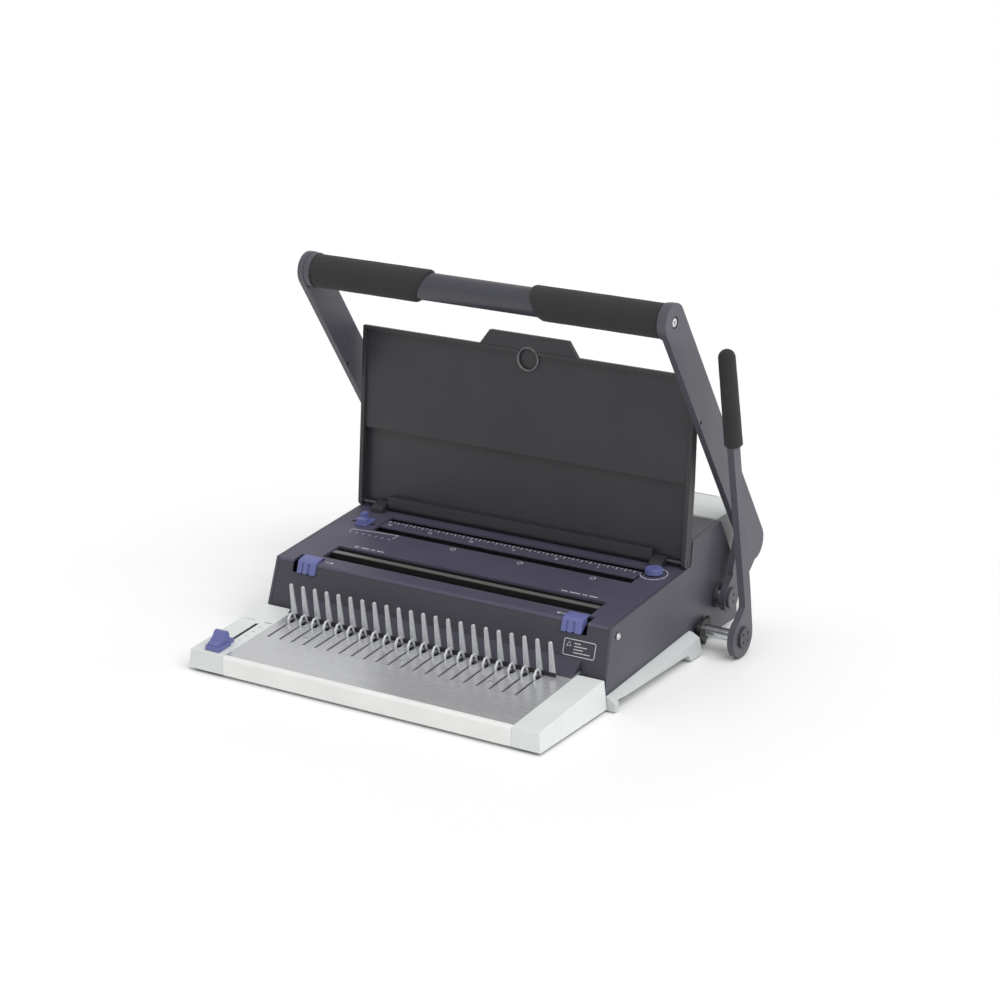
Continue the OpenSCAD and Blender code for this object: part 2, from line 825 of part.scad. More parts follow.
module shaft_bushes() {
    color("#3a3a3c") for (s = [-1, 1]) {
        ring_x(s > 0 ? [in_half - 2, flange_x] : [-flange_x, -in_half + 2],
            [pivot_y, pivot_z], handle_shaft_r + 0.05, 11);
        ring_x(s > 0 ? [flange_x, flange_x + 2.4] : [-flange_x - 2.4, -flange_x],
            [pivot_y, pivot_z], handle_shaft_r + 0.05, 12.4);
        ring_x(s > 0 ? [in_half - 2, collar_x] : [-collar_x, -in_half + 2],
            [opener_y, opener_z], opener_r + 0.05, 9);
    }
}

// ---- comb opener ---------------------------------------------------------------

module shaft_collar() {
    color("#222222") difference() {
        union() {
            rod_x([collar_x, collar_x + 5], [opener_y, opener_z], 11.5);
            for (a = [35, 155, 275])
                rod_x([collar_x, collar_x + 4],
                    [opener_y + 13 * cos(a), opener_z + 13 * sin(a)], 3.4);
        }
        rod_x([collar_x - 1, collar_x + 6], [opener_y, opener_z], opener_r + 0.1);
    }
}

module opener_shaft() {
    color("lightgray") rod_x([-collar_x - 1, opener_out], [opener_y, opener_z], opener_r);
}

// Half of one involute tooth, by the angle rolled off the base circle
function involute(rb, a) = rb * [cos(a) + a * PI / 180 * sin(a), sin(a) - a * PI / 180 * cos(a)];
function turn(p, a) = [p[0] * cos(a) - p[1] * sin(a), p[0] * sin(a) + p[1] * cos(a)];

module gear_tooth() {
    pressure = 20;
    backlash = 0.5;
    rb = gear_r * cos(pressure);
    tip = gear_r + 0.85 * gear_m;
    roll_tip = sqrt(pow(tip / rb, 2) - 1) * 180 / PI;
    inv = (tan(pressure) * 180 / PI) - pressure;
    half = 90 / gear_z + inv - backlash;
    steps = 5;
    up = [for (k = [0 : steps]) turn(involute(rb, roll_tip * k / steps), -half)];
    down = [for (k = [0 : steps]) let (p = up[steps - k]) [p[0], -p[1]]];
    root = gear_r - 1.3 * gear_m;
    polygon(concat([[root, -root * sin(half)]], up, down, [[root, root * sin(half)]]));
}

module opener_sectors() {
    root = gear_r - 1.15 * gear_m;
    color("dimgray") for (s = [-1, 1])
        difference() {
            along_x([s * rack_x - rack_w / 2, s * rack_x + rack_w / 2])
                translate([opener_y, opener_z]) {
                    circle(10);
                    intersection() {
                        circle(root);
                        polygon([[0, 0], [40, -7], [60, 60], [-25, 60]]);
                    }
                    for (k = [-1 : 4])
                        rotate(90 - k * 360 / gear_z) gear_tooth();
                }
            rod_x([s * rack_x - 10, s * rack_x + 10], [opener_y, opener_z], opener_r + 0.02);
        }
}

module comb_lever() {
    hub_at = [opener_y, opener_z + 0.5];
    color("#6a6470") along_x([opener_out - lever_t, opener_out]) difference() {
        union() {
            capsule(lever_low, lever_high, lever_bar_r);
            translate(hub_at) circle(20.8);
            polygon([[hub_at[0] - 20, hub_at[1] + 6], [hub_at[0] + 20.4, hub_at[1] + 5],
                lever_low + [6.4, 2], lever_low + [-6, 0], [hub_at[0] + 3, 52]]);
        }
        translate([opener_y, opener_z]) circle(opener_r + 0.02);
    }
}

module comb_lever_grip() {
    from = [180, 226];
    to = [159.2, 325.5];
    tip_r = lever_grip_r - 0.7;
    d = to - from;
    len = norm(d);
    x = opener_out - lever_t / 2;
    color("#2e2e2e") difference() {
        translate([x, from[0], from[1]]) rotate([atan2(-d[0], d[1]), 0, 0]) {
            cylinder(h = len - tip_r, r1 = lever_grip_r, r2 = tip_r);
            translate([0, 0, len - tip_r]) sphere(tip_r);
        }
        along_x([opener_out - lever_t, opener_out]) capsule(lever_low, lever_high, lever_bar_r);
    }
}

module lever_boss() {
    color("#8a8790") difference() {
        rod_x([opener_out, opener_out + 3], [opener_y, opener_z + 0.5], 11);
        for (a = [45 : 90 : 315])
            rod_x([opener_out + 1, opener_out + 4],
                [opener_y + 6 * cos(a), opener_z + 0.5 + 6 * sin(a)], 1.4);
    }
}

module hook_slide() {
    color("gray") {
        block([-158, 158], [-28, -12], slide_z);
        for (s = [-1, 1])
            block([s * rack_x - rack_w / 2, s * rack_x + rack_w / 2], [-28, -16],
                [bar_z[0], slide_z[0] + EPS]);
    }
}

// One bent hook: leg up through the plate, flat arch over, sloping tip beside the finger
module hook() {
    t = 1.9;
    leg = -17.4;
    top = plate_z + 8;
    tip = [-3.4, plate_z - 2];
    along_x([-1, 1]) polygon([
        [leg, slide_z[1]], [leg + t, slide_z[1]], [leg + t, plate_z + 2.4],
        [leg + 5, top - t], [leg + 9.6, top - t], [tip[0] - t, tip[1]], tip,
        [leg + 10.8, top - 0.3], [leg + 10, top], [leg + 4.2, top], [leg, plate_z + 3]]);
}

module comb_hooks() {
    color("silver") for (i = [0 : fingers - 2])
        translate([finger_x(i) + hook_shift, 0, 0]) hook();
}

module opener_racks() {
    tooth = [gear_m * PI / 2 - 0.3, 0.85 * gear_m];
    pitch_z = opener_z + gear_r;
    tan_a = tan(20);
    color("dimgray") for (s = [-1, 1])
        along_x([s * rack_x - rack_w / 2, s * rack_x + rack_w / 2]) {
            polygon([[-16, bar_z[0]], [66, bar_z[0]], [66, rack_low], [234.5, rack_low],
                [234.5, rack_top], [60, rack_top], [60, bar_z[1]], [-16, bar_z[1]]]);
            for (k = [-1 : 4])
                translate([opener_y + (k + 0.5) * PI * gear_m, pitch_z]) polygon([
                    [-tooth[0] / 2 - 2.7 * tan_a, 2.7], [tooth[0] / 2 + 2.7 * tan_a, 2.7],
                    [tooth[0] / 2 - tooth[1] * tan_a, -tooth[1]],
                    [-tooth[0] / 2 + tooth[1] * tan_a, -tooth[1]]]);
        }
}

// ---- adjusters -----------------------------------------------------------------

// Saddle-shaped knob that slides along the slot in the left tray block
module size_slider() {
    y = [-103, -84];
    z = tray_z(y[0]) + 0.3;
    climb = (y[1] - y[0]) * plate_slope;
    color("#5c63a0") {
        along_x([slider_x - 8.5, slider_x + 8.5]) polygon([
            [y[0], z], [y[1], z + climb], [y[1], z + 5.5], [y[0] + 8, z + 5.5],
            [y[0] + 3, z + 5.2], [y[0], z + 4.4]]);
        along_x([slider_x - 6.8, slider_x + 6.8]) polygon([
            [y[0] + 1.5, z + 3], [y[1], z + 3], [y[1], z + 13.5], [y[1] - 1.8, z + 16.8],
            [y[1] - 5, z + 17], [y[1] - 7, z + 15.4], [y[0] + 9, z + 11], [y[0] + 6.8, z + 10],
            [y[0] + 6, z + 8.4], [y[0] + 3.4, z + 7.6], [y[0] + 1.5, z + 6]]);
        along_x([slider_x - 3.6, slider_x + 5.5]) polygon([
            [y[1] - EPS, z + climb], [-75, tray_z(-75) + 0.3], [-75.5, z + 6], [y[1] - EPS, z + 9]]);
        block([slider_x - 1.5, slider_x + 1.5], [-88, -80], [17, tray_z(-88) + 2]);
    }
}

module edge_guide() {
    x = -162;
    color("#5c63a0") {
        deck_strip([x - 7, x + 7], [131.5, 150], 1.8, -2);
        deck_strip([x - 6.6, x - 1], [141.5, 149.5], 7.3, -8.9);
        deck_strip([x - 5.6, x + 6.2], [132, 139], 5, -6.8);
        block([x - 4, x + 4], [139.2, 141.8], [78, deck_z(139.2) + 1]);
        block([x - 6, x + 6], [136, 145], [78, 80]);
    }
}

module margin_dial() {
    z = deck_z(dial_at[1]) + 1;
    color("#5c63a0") translate([dial_at[0], dial_at[1], 0]) {
        difference() {
            union() {
                translate([0, 0, z]) cylinder(h = 5, r = 9);
                translate([0, 0, z + 5]) cylinder(h = 0.8, r = 8);
            }
            for (a = [0 : 15 : 345])
                rotate(a) translate([9.3, 0, z - 1]) cylinder(h = 10, r = 0.7);
            translate([-1, -8, z + 5.2]) cube([2, 8, 3]);
        }
        translate([0, 0, dial_stem_z]) cylinder(h = z - dial_stem_z + EPS, r = 4);
    }
}

// Size latch over the front edge of the deck, with two upright finger grooves
module latch(x) {
    top = deck_z(36);
    low = deck_front_z - latch_lip + 0.4;
    grooves = [[0.25, 0.32, 1], [0.56, 0.68, 0.3]];
    color("#5c63a0") difference() {
        along_x(x) polygon([
            [panel_y(low) - 1.8, low], [panel_y(top) - 1.4, top + 0.4], [35, top + 2.1],
            [44, deck_z(44) + 2.2], [44, deck_z(44) + 0.3], [40.2, deck_z(40.2) + 0.3], [40.2, 72],
            [37.6, 72], [panel_y(low) + 2.8, low + 0.6]]);
        for (g = grooves)
            along_x([x[0] + latch_w * g[0], x[0] + latch_w * g[1]]) polygon([
                [panel_y(low) - 6, low - 2], [panel_y(low) - g[2], low - 2],
                [panel_y(top) - 0.2, top - 1.6], [panel_y(top) - 6, top - 1.6]]);
    }
}

module latch_left() {
    latch([notch_left[1] - 0.5 - latch_w, notch_left[1] - 0.5]);
}

module latch_right() {
    latch([notch_right[0] + 0.5, notch_right[0] + 0.5 + latch_w]);
}

module bin_lid() {
    x = lid_half - 0.4;
    color("#e4e8e6") difference() {
        union() {
            block([-x, x], [lid_y[0] + 0.4, lid_pin[0]], [lid_pin[1], rear_z]);
            rod_x([-x, x], lid_pin, rear_z - lid_pin[1]);
            rod_x([-lid_half - 3, lid_half + 3], lid_pin, lid_pin_r);
        }
        translate([0, lid_y[0], lid_pin[1] - 1]) cylinder(h = 5, r = 9);
    }
}

module chip_drawer() {
    right = 146;
    wall = 1.8;
    front = -side_x(0) - 1;
    pull = -213;
    color("#45454a") difference() {
        union() {
            block([front + 1, right], [drawer_y[0] + 1, drawer_y[1] - 1], drawer_z);
            block([front, -in_half + 1], drawer_y, drawer_z);
            block([pull, front + 1], drawer_y, [drawer_z[0], 24]);
        }
        block([-in_half + 3, right - wall], [drawer_y[0] + 1 + wall, drawer_y[1] - 1 - wall],
            [drawer_z[0] + wall, 60]);
        block([pull + 2, front - 1.5], [drawer_y[0] + 3, drawer_y[1] - 3], [0, 22]);
    }
}

base_pan();
foot_pads();
tray_block_left();
tray_block_right();
front_rail();
work_plate();
panel_screws();
comb_fingers();
finger_strip();
ledge_ramp();
front_panel();
side_panel_left();
side_panel_right();
side_rail_left();
side_rail_right();
top_panel();
wire_trough();
scale_ruler();
hinge_rest_left();
hinge_rest_right();
cover_hinge_pins();
rear_top_panel();
rear_panel();
storage_bin();
die_plate();
punch_guide_plate();
punch_end_blocks();
guide_rods();
handle_return_springs();
shaft_bushes();
shaft_collar();
handle_arm_left();
handle_arm_right();
handle_tube();
handle_grip_left();
handle_grip_right();
handle_collars();
handle_end_screws();
handle_shaft();
pivot_bosses();
punch_cams();
punch_ram();
punch_pins();
closing_bar();
opener_shaft();
opener_sectors();
comb_lever();
comb_lever_grip();
lever_boss();
hook_slide();
comb_hooks();
opener_racks();
size_slider();
edge_guide();
margin_dial();
latch_left();
latch_right();
cover_panel();
bin_lid();
chip_drawer();
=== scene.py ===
"""Looks of the comb binding machine: materials, soft edges, printed marks, foam, light.

Places and sizes are given in millimetres in the part's own frame and turned into metres
where a mesh is built. X runs along the machine, Y from front to back, Z up.
"""

import json
import math

import bmesh
import bpy
from mathutils import Matrix, Vector


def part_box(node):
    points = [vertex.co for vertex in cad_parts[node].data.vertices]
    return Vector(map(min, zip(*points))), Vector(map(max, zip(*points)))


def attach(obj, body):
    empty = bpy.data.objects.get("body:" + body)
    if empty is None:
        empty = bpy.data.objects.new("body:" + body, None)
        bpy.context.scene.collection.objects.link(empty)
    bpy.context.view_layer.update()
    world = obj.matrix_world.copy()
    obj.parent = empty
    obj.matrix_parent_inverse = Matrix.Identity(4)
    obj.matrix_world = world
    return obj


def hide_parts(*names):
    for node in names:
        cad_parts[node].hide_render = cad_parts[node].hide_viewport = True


MM = 0.001

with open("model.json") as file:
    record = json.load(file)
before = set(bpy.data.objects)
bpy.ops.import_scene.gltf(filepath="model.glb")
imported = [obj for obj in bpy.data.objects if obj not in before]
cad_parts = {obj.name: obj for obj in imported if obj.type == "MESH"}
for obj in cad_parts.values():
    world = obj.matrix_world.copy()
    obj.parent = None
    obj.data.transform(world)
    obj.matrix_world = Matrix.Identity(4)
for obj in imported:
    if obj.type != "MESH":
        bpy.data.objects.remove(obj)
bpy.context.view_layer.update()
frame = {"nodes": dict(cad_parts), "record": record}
nodes = frame["nodes"]
record = frame["record"]
slot_of = {p["node"]: p["material_slot"] for p in record["subparts"]}
slot_colour = {m["slot"]: m["base_color"][:3] for m in record["materials"]}


# ---- materials -------------------------------------------------------------------
# Textures use object coordinates in metres, so a noise scale of 1000 has lumps near 1 mm.

def shade(colour, gain):
    return tuple(min(1.0, c * gain) for c in colour)


class Surface:
    """A Principled material with helpers for the textures that drive it."""

    def __init__(self, name, colour, rough, metallic=0.0, specular=0.5):
        self.mat = bpy.data.materials.new(name)
        self.mat.use_nodes = True
        self.tree = self.mat.node_tree
        self.bsdf = self.tree.nodes["Principled BSDF"]
        self.colour = colour
        self.last_bump = None
        self.bsdf.inputs["Base Color"].default_value = shade(colour, 1) + (1.0,)
        self.bsdf.inputs["Roughness"].default_value = rough
        self.bsdf.inputs["Metallic"].default_value = metallic
        self.bsdf.inputs["Specular IOR Level"].default_value = specular

    def node(self, kind, **inputs):
        """Adds a node; inputs are socket names with _ for a space."""
        n = self.tree.nodes.new(kind)
        for socket, value in inputs.items():
            n.inputs[socket.replace("_", " ")].default_value = value
        return n

    def link(self, a, b):
        self.tree.links.new(a, b)

    def coords(self, stretch=(1, 1, 1)):
        place = self.node("ShaderNodeTexCoord")
        mapping = self.node("ShaderNodeMapping", Scale=stretch)
        self.link(place.outputs["Object"], mapping.inputs["Vector"])
        return mapping.outputs["Vector"]

    def noise(self, scale, detail, stretch=(1, 1, 1), lumps=0.55):
        n = self.node("ShaderNodeTexNoise", Scale=scale, Detail=detail, Roughness=lumps)
        self.link(self.coords(stretch), n.inputs["Vector"])
        return n.outputs["Fac"]

    def cells(self, scale):
        n = self.node("ShaderNodeTexVoronoi", Scale=scale)
        self.link(self.coords(), n.inputs["Vector"])
        return n.outputs["Distance"]

    def tint(self, value, dark, light, start=0.3, end=0.7):
        """Base colour that moves between two shades of the material's colour."""
        ramp = self.node("ShaderNodeValToRGB")
        stops = ramp.color_ramp.elements
        for stop, position, gain in ((stops[0], start, dark), (stops[1], end, light)):
            stop.position = position
            stop.color = shade(self.colour, gain) + (1.0,)
        self.link(value, ramp.inputs["Fac"])
        self.link(ramp.outputs["Color"], self.bsdf.inputs["Base Color"])
        return self

    def gloss(self, value, low, high):
        """Roughness that moves between two values."""
        spread = self.node("ShaderNodeMapRange", From_Min=0.3, From_Max=0.7,
                           To_Min=low, To_Max=high)
        self.link(value, spread.inputs["Value"])
        self.link(spread.outputs["Result"], self.bsdf.inputs["Roughness"])
        return self

    def bump(self, value, depth, strength):
        """Relief of `depth` mm; each call adds to the ones before it."""
        b = self.node("ShaderNodeBump", Distance=depth * MM, Strength=strength)
        self.link(value, b.inputs["Height"])
        if self.last_bump:
            self.link(self.last_bump, b.inputs["Normal"])
        self.last_bump = b.outputs["Normal"]
        self.link(self.last_bump, self.bsdf.inputs["Normal"])
        return self


def powder_coat(name, colour, rough=0.42):
    """Orange-peel paint with fine speckle and faint rubbed patches."""
    s = Surface(name, colour, rough)
    speckle, rubbed = s.noise(1400, 2), s.noise(9, 5)
    peel, grit = s.noise(620, 2), s.noise(2600, 1)
    s.tint(speckle, 0.9, 1.1, start=0.2, end=0.8)
    s.gloss(rubbed, rough - 0.07, rough + 0.08)
    s.bump(peel, depth=0.12, strength=0.5)
    return s.bump(grit, depth=0.04, strength=0.5)


def moulded(name, colour, rough=0.47, grain=1500, depth=0.08):
    """Spark-textured moulded plastic, a little shinier in patches."""
    s = Surface(name, colour, rough)
    cloud, rubbed = s.noise(14, 6), s.noise(22, 6)
    s.tint(cloud, 0.94, 1.06)
    s.gloss(rubbed, rough - 0.08, rough + 0.07)
    return s.bump(s.noise(grain, 3, lumps=0.7), depth, strength=0.6)


def brushed(name, colour, rough, across, metallic):
    """Metal with long fine scratches; `across` squeezes the pattern on each axis."""
    s = Surface(name, colour, rough, metallic)
    scratches, wear = s.noise(24, 8, across, lumps=0.72), s.noise(60, 6, across)
    s.tint(scratches, 0.86, 1.08, start=0.25, end=0.75)
    s.gloss(wear, rough - 0.09, rough + 0.12)
    return s.bump(scratches, depth=0.05, strength=0.5)


def plated(name, colour, rough=0.16):
    """Bright plating with faint smears."""
    s = Surface(name, colour, rough, metallic=1.0)
    cloud, smears = s.noise(90, 4), s.noise(260, 5)
    s.tint(cloud, 0.9, 1.05)
    s.gloss(smears, rough - 0.08, rough + 0.12)
    return s.bump(s.noise(900, 2), depth=0.02, strength=0.4)


def foam(name, colour):
    """Closed-cell foam: pin-hole cells over a slightly uneven skin, with painted shade
    darkening each cell towards its pit.
    """
    s = Surface(name, colour, rough=0.86, specular=0.22)
    s.bsdf.inputs["Sheen Weight"].default_value = 0.07
    s.bsdf.inputs["Sheen Roughness"].default_value = 0.6
    pits_and_pit_shade = s.cells(1100)
    # Painted shade: the colour is darker near the cell centres, where the bump puts the pits.
    s.tint(pits_and_pit_shade, 0.5, 0.86, start=0.05, end=0.5)
    s.gloss(s.noise(40, 4), 0.78, 0.94)
    s.bump(s.noise(70, 3), depth=0.6, strength=0.35)
    return s.bump(pits_and_pit_shade, depth=0.22, strength=0.8)


def printed(name, colour):
    """Screen-printed ink."""
    s = Surface(name, colour, rough=0.5)
    s.tint(s.noise(700, 3), 0.86, 1.0)
    return s.bump(s.noise(1800, 2), depth=0.02, strength=0.4)


LONG_GRAIN = (0.5, 60, 60)
UPRIGHT_GRAIN = (34, 34, 2)
TURNED_GRAIN = (3, 20, 20)
SPRING_GRAIN = (6, 30, 30)
EVEN_GRAIN = (20, 20, 20)

# Slots that are not listed here are plain moulded plastic.
SLOT_LOOK = {
    "case_paint": powder_coat,
    "arm_paint": powder_coat,
    "tube_paint": lambda name, c: powder_coat(name, c, rough=0.28),
    "grip_foam": foam,
    "plate_steel": lambda name, c: brushed(name, c, 0.25, LONG_GRAIN, 0.6),
    "finger_steel": lambda name, c: brushed(name, shade(c, 1.25), 0.3, UPRIGHT_GRAIN, 0.45),
    "bright_steel": plated,
    "spring_steel": lambda name, c: brushed(name, c, 0.35, SPRING_GRAIN, 1.0),
    "dark_steel": lambda name, c: brushed(name, c, 0.45, TURNED_GRAIN, 0.7),
    "control_blue": lambda name, c: moulded(name, c, 0.36, grain=1800, depth=0.04),
    "light_plastic": lambda name, c: moulded(name, c, 0.42, grain=1100, depth=0.07),
    "white_plastic": lambda name, c: moulded(name, c, 0.42, grain=1100, depth=0.07),
    "foot_rubber": lambda name, c: moulded(name, c, 0.85, grain=900, depth=0.1),
}

PALE_INK = (0.62, 0.63, 0.66)
DARK_GREY = (0.16, 0.16, 0.17)
# Near-black for the closing bar: painted shade of the channel it sits in, not a finish of the
# steel.
BAR_SHADE_BLACK = (0.02, 0.02, 0.02)
# Lighter grey for a strip on top of the closing bar: painted highlight where light catches its
# top edge.
BAR_TOP_HIGHLIGHT = (0.2, 0.195, 0.18)

own_looks = [
    printed("ink", PALE_INK),
    printed("tray_ink", DARK_GREY),
    brushed("hook_steel", slot_colour["bright_steel"], 0.3, EVEN_GRAIN, 0.3),
    # Painted shade: deck plastic darkened to 0.6 so the ledge ramp looks as dark as it lies in
    # shade.
    moulded("ledge_painted_shade", shade(slot_colour["deck_plastic"], 0.6), 0.45),
    # Painted shade: the closing bar is made near-black to stand for the shade in its channel.
    brushed("bar_painted_shade", BAR_SHADE_BLACK, 0.5, LONG_GRAIN, 0.3),
    # Painted highlight: a lighter strip along the top edge of the closing bar.
    brushed("bar_painted_highlight", BAR_TOP_HIGHLIGHT, 0.4, LONG_GRAIN, 0.4),
    # Black used for dark strips that paint shade into the slider's slot and at the feet of the
    # fingers.
    moulded("painted_shade_black", slot_colour["black_plastic"], 0.6),
    moulded("ring_grey", DARK_GREY, 0.3),
]
surfaces = {look.mat.name: look.mat for look in own_looks}
for slot, colour in slot_colour.items():
    surfaces[slot] = SLOT_LOOK.get(slot, moulded)(slot, colour).mat


# ---- edges of the CAD shapes -----------------------------------------------------

def soften(obj, width):
    """Rounds the sharp edges of a CAD node with modifiers and leaves its mesh alone."""
    weld = obj.modifiers.new("weld", "WELD")
    weld.merge_threshold = 0.001 * MM
    flat = obj.modifiers.new("flat", "DECIMATE")
    flat.decimate_type = "DISSOLVE"
    flat.angle_limit = math.radians(0.5)
    bevel = obj.modifiers.new("bevel", "BEVEL")
    bevel.width = width * MM
    bevel.segments = 3
    bevel.limit_method = "ANGLE"
    bevel.angle_limit = math.radians(32)
    bevel.use_clamp_overlap = True
    bevel.miter_outer = "MITER_ARC"
    normals = obj.modifiers.new("normals", "WEIGHTED_NORMAL")
    normals.weight = 60
    normals.keep_sharp = False


# Rounding in mm, and the nodes that get it. All others get PLAIN_EDGE.
PLAIN_EDGE = 0.4
EDGES = {
    1.4: ("tray_block_left", "tray_block_right"),
    1.3: ("size_slider",),
    1.2: ("storage_bin",),
    1.0: ("side_rail_left", "side_rail_right"),
    0.8: ("latch_left", "latch_right", "rear_top_panel"),
    0.7: ("front_rail", "handle_arm_left", "handle_arm_right", "comb_lever", "cover_panel",
          "edge_guide", "chip_drawer"),
    0.6: ("front_panel", "side_panel_left", "side_panel_right", "hinge_rest_left",
          "hinge_rest_right"),
    0.35: ("comb_fingers", "comb_hooks"),
    0.3: ("margin_dial", "ledge_ramp"),
}
edge_of = {name: width for width, names in EDGES.items() for name in names}

# Dissolving the flat faces would close the holes and notches of these nodes.
NO_EDGE = {"work_plate", "top_panel", "handle_return_springs", "punch_pins", "opener_sectors",
           "opener_racks", "die_plate", "punch_guide_plate", "finger_strip", "wire_trough",
           "hook_slide", "punch_ram", "rear_panel"}

# The closing bar takes near-black painted shade.
OWN_SURFACE = {"closing_bar": "bar_painted_shade", "comb_hooks": "hook_steel",
               # The ledge ramp takes darkened deck plastic as painted shade.
               "ledge_ramp": "ledge_painted_shade"}

for name, obj in nodes.items():
    obj.data.materials.clear()
    obj.data.materials.append(surfaces[OWN_SURFACE.get(name, slot_of[name])])
    if name not in NO_EDGE:
        soften(obj, edge_of.get(name, PLAIN_EDGE))


# ---- faces that carry marks ------------------------------------------------------
# Each face is known by one place on it and its slope. The functions below give a place
# on the face, `lift` mm off it, in metres.

DECK_Y, DECK_Z, DECK_SLOPE = 31.5, 77.7, 0.087
RULER_DROP = 1.0
TRAY_Z, TRAY_SLOPE = 31.2, 0.0821
FRONT_Y, FRONT_Z, FRONT_SLOPE = 12, 13, 0.3014
COVER_FOOT = Vector((0, 175.3, 91.6))
COVER_LEAN = math.radians(4.7)


def deck(x, y, lift=0.0):
    return Vector((x, y, DECK_Z + (y - DECK_Y) * DECK_SLOPE + lift)) * MM


def ruler(x, y, lift=0.0):
    return deck(x, y, lift - RULER_DROP)


def tray(x, y, lift=0.0):
    return Vector((x, y, TRAY_Z + y * TRAY_SLOPE + lift)) * MM


def front(x, z, lift=0.0):
    face = math.hypot(1, FRONT_SLOPE)
    return Vector((x, FRONT_Y + (z - FRONT_Z) * FRONT_SLOPE - lift / face,
                   z + lift * FRONT_SLOPE / face)) * MM


def cover(x, up, behind):
    """A place on the opened sheet support, measured up its face and behind its front."""
    sin, cos = math.sin(COVER_LEAN), math.cos(COVER_LEAN)
    return (COVER_FOOT + Vector((x, up * sin + behind * cos, up * cos - behind * sin))) * MM


# ---- tools for own pieces --------------------------------------------------------

def make_piece(name, bm, body, material, smooth=False):
    bmesh.ops.recalc_face_normals(bm, faces=bm.faces)
    mesh = bpy.data.meshes.new(name)
    bm.to_mesh(mesh)
    bm.free()
    mesh.materials.append(surfaces[material])
    for face in mesh.polygons:
        face.use_smooth = smooth
    piece = bpy.data.objects.new(name, mesh)
    bpy.context.scene.collection.objects.link(piece)
    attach(piece, body)
    return piece


def skin(bm, one, two):
    """Faces between two closed loops with the same number of vertices."""
    for k in range(len(one)):
        n = (k + 1) % len(one)
        bm.faces.new((one[k], one[n], two[n], two[k]))


def slab(bm, x, y, z, place):
    """A block between three pairs of limits; z gives the heights over the face of place."""
    loop = ((x[0], y[0]), (x[0], y[1]), (x[1], y[1]), (x[1], y[0]))
    bottom, top = ([bm.verts.new(place(a, b, c)) for a, b in loop] for c in z)
    skin(bm, bottom, top)
    bm.faces.new(bottom)
    bm.faces.new(top)


def arc(cx, cy, r, start, end, steps=28):
    angles = [math.radians(start + (end - start) * k / steps) for k in range(steps + 1)]
    return [(cx + r * math.cos(a), cy + r * math.sin(a)) for a in angles]


def rounded(x, y, r):
    """Closed outline of a rectangle with rounded corners."""
    corners = ((x[1] - r, y[1] - r), (x[0] + r, y[1] - r),
               (x[0] + r, y[0] + r), (x[1] - r, y[0] + r))
    outline = []
    for k, (cx, cy) in enumerate(corners):
        outline += arc(cx, cy, r, 90 * k, 90 * k + 90, 6)
    return outline + [(x[1], y[1] - r)]


INK_FOOT, INK_TOP = 0.01, 0.05


def stroke(bm, points, width, place):
    """A thin raised line of ink through 2D points, laid on the face of place."""
    loops = []
    for k, (x, y) in enumerate(points):
        before, after = points[max(k - 1, 0)], points[min(k + 1, len(points) - 1)]
        dx, dy = after[0] - before[0], after[1] - before[1]
        half = width / 2 / math.hypot(dx, dy)
        loops.append([bm.verts.new(place(x - side * dy * half, y + side * dx * half, lift))
                      for side, lift in ((1, INK_FOOT), (1, INK_TOP),
                                         (-1, INK_TOP), (-1, INK_FOOT))])
    for one, two in zip(loops, loops[1:]):
        skin(bm, one, two)
    bm.faces.new(loops[0])
    bm.faces.new(loops[-1])


# Seven-segment strokes on a grid one step wide and two high.
SEGMENTS = {"a": ((0, 2), (1, 2)), "b": ((1, 2), (1, 1)), "c": ((1, 1), (1, 0)),
            "d": ((0, 0), (1, 0)), "e": ((0, 1), (0, 0)), "f": ((0, 2), (0, 1)),
            "g": ((0, 1), (1, 1))}
DIGITS = {"0": "abcdef", "1": "bc", "2": "abged", "3": "abgcd", "5": "afgcd"}
DIGIT_SLIM, DIGIT_LINE, DIGIT_ADVANCE = 0.9, 0.3, 1.7


def number(bm, text, x, y, size, place):
    """Digits made of straight strokes; size is half the height of a digit."""
    for digit in text:
        for segment in DIGITS[digit]:
            ends = [(x + u * size * DIGIT_SLIM, y + v * size) for u, v in SEGMENTS[segment]]
            stroke(bm, ends, size * DIGIT_LINE, place)
        x += size * DIGIT_ADVANCE


# ---- printed marks ---------------------------------------------------------------

HAIR, FINE, LINE = 0.6, 0.7, 0.8
DASH = 1.3


